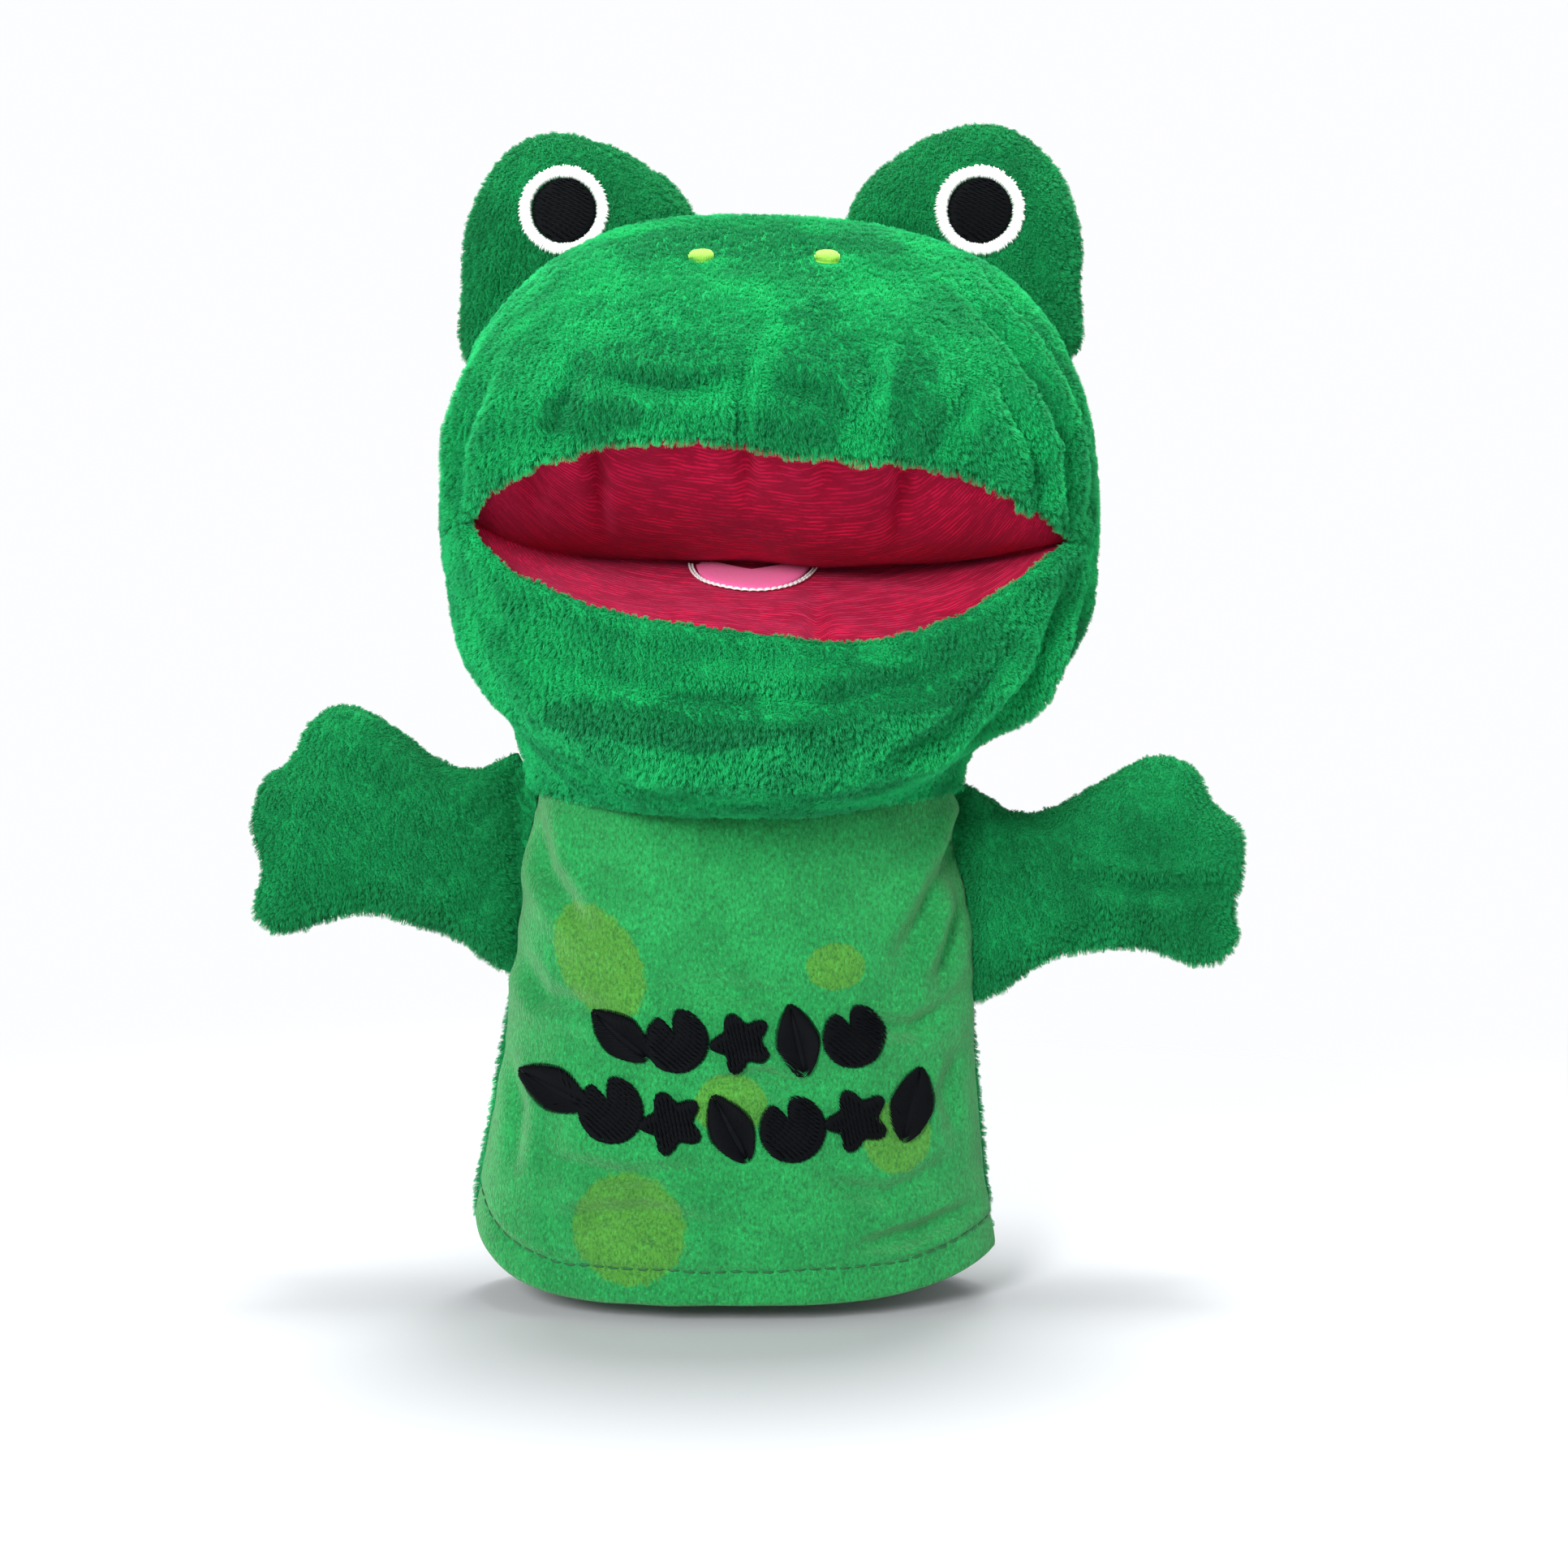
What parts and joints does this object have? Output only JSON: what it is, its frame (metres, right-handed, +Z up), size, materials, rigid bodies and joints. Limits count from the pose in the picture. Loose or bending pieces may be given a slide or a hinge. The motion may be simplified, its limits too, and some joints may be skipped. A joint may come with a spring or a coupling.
{
  "type": "frog hand puppet",
  "caption": "Plush frog hand puppet: sleeve for the forearm, nodding hollow head with raised eyes, mouth that opens on a folded lining, and stuffed arms that swing.",
  "frame": {"origin": "middle of the hand opening, in the plane of the hem", "axes": "+Z up from the hem to the head, the puppet faces -Y, +X to the right of a person facing it"},
  "size_m": [0.2018, 0.111, 0.2353],
  "materials": {
    "plush_green": "short fluffy polyester plush, mid green, matt with soft highlights along the pile",
    "velour_green": "short-pile velour, lighter green, printed with soft-edged lime spots",
    "crimson_lining": "short-pile crimson velour with fine cross rows in the pile",
    "tongue_pink": "smooth pink knitted cloth",
    "mouth_board": "stiff pasteboard, covered on all sides by cloth",
    "stuffing_white": "loose white polyester fibre filling",
    "thread_white": "white satin-stitched embroidery thread, slightly fuzzy",
    "thread_black": "black satin-stitched embroidery thread, slight sheen",
    "thread_lime": "lime satin-stitched embroidery thread",
    "thread_green": "dark green sewing thread, one line of straight stitches"
  },
  "bodies": {
    "sleeve": {"belly_panel": "velour_green", "back_panel": "plush_green", "throat_fold": "velour_green", "nape_fold": "plush_green", "hem_fold": "velour_green", "hem_stitching": "thread_green", "upper_motif_1": "thread_black", "upper_motif_2": "thread_black", "upper_motif_3": "thread_black", "upper_motif_4": "thread_black", "upper_motif_5": "thread_black", "lower_motif_1": "thread_black", "lower_motif_2": "thread_black", "lower_motif_3": "thread_black", "lower_motif_4": "thread_black", "lower_motif_5": "thread_black", "lower_motif_6": "thread_black", "lower_motif_7": "thread_black"},
    "head": {"face_panel": "plush_green", "head_back_panel": "plush_green", "left_cheek_fold": "plush_green", "right_cheek_fold": "plush_green", "upper_mouth_lining": "crimson_lining", "upper_mouth_board": "mouth_board", "left_eye_lobe_front": "plush_green", "left_eye_lobe_back": "plush_green", "left_eye_lobe_stuffing": "stuffing_white", "right_eye_lobe_front": "plush_green", "right_eye_lobe_back": "plush_green", "right_eye_lobe_stuffing": "stuffing_white", "left_eye_white": "thread_white", "left_pupil": "thread_black", "left_nostril": "thread_lime", "right_eye_white": "thread_white", "right_pupil": "thread_black", "right_nostril": "thread_lime"},
    "jaw": {"chin_panel": "plush_green", "lower_mouth_lining": "crimson_lining", "lower_mouth_board": "mouth_board", "tongue": "tongue_pink", "tongue_stitching": "thread_white"},
    "left_arm": {"left_arm_front": "plush_green", "left_arm_back": "plush_green", "left_arm_stuffing": "stuffing_white"},
    "right_arm": {"right_arm_front": "plush_green", "right_arm_back": "plush_green", "right_arm_stuffing": "stuffing_white"}
  },
  "joints": [
    {"name": "head_nod", "type": "hinge", "parent": "sleeve", "child": "head", "pos_m": [0, 0, 0.104], "axis": [1, 0, 0], "range_deg": [-20, 20], "deforming": ["throat_fold", "nape_fold"]},
    {"name": "jaw_open", "type": "hinge", "parent": "head", "child": "jaw", "pos_m": [0.0075, -0.006, 0.149], "axis": [1, 0, 0], "range_deg": [-28, 25], "deforming": ["left_cheek_fold", "right_cheek_fold"]},
    {"name": "left_arm_swing", "type": "hinge", "parent": "sleeve", "child": "left_arm", "pos_m": [-0.0438, 0, 0.084], "axis": [0.1175, 0, 0.9931], "range_deg": [-50, 50], "stiffness_Nm_per_rad": 0.004},
    {"name": "right_arm_swing", "type": "hinge", "parent": "sleeve", "child": "right_arm", "pos_m": [0.0473, 0, 0.078], "axis": [0.0775, 0, -0.997], "range_deg": [-50, 50], "stiffness_Nm_per_rad": 0.004}
  ]
}
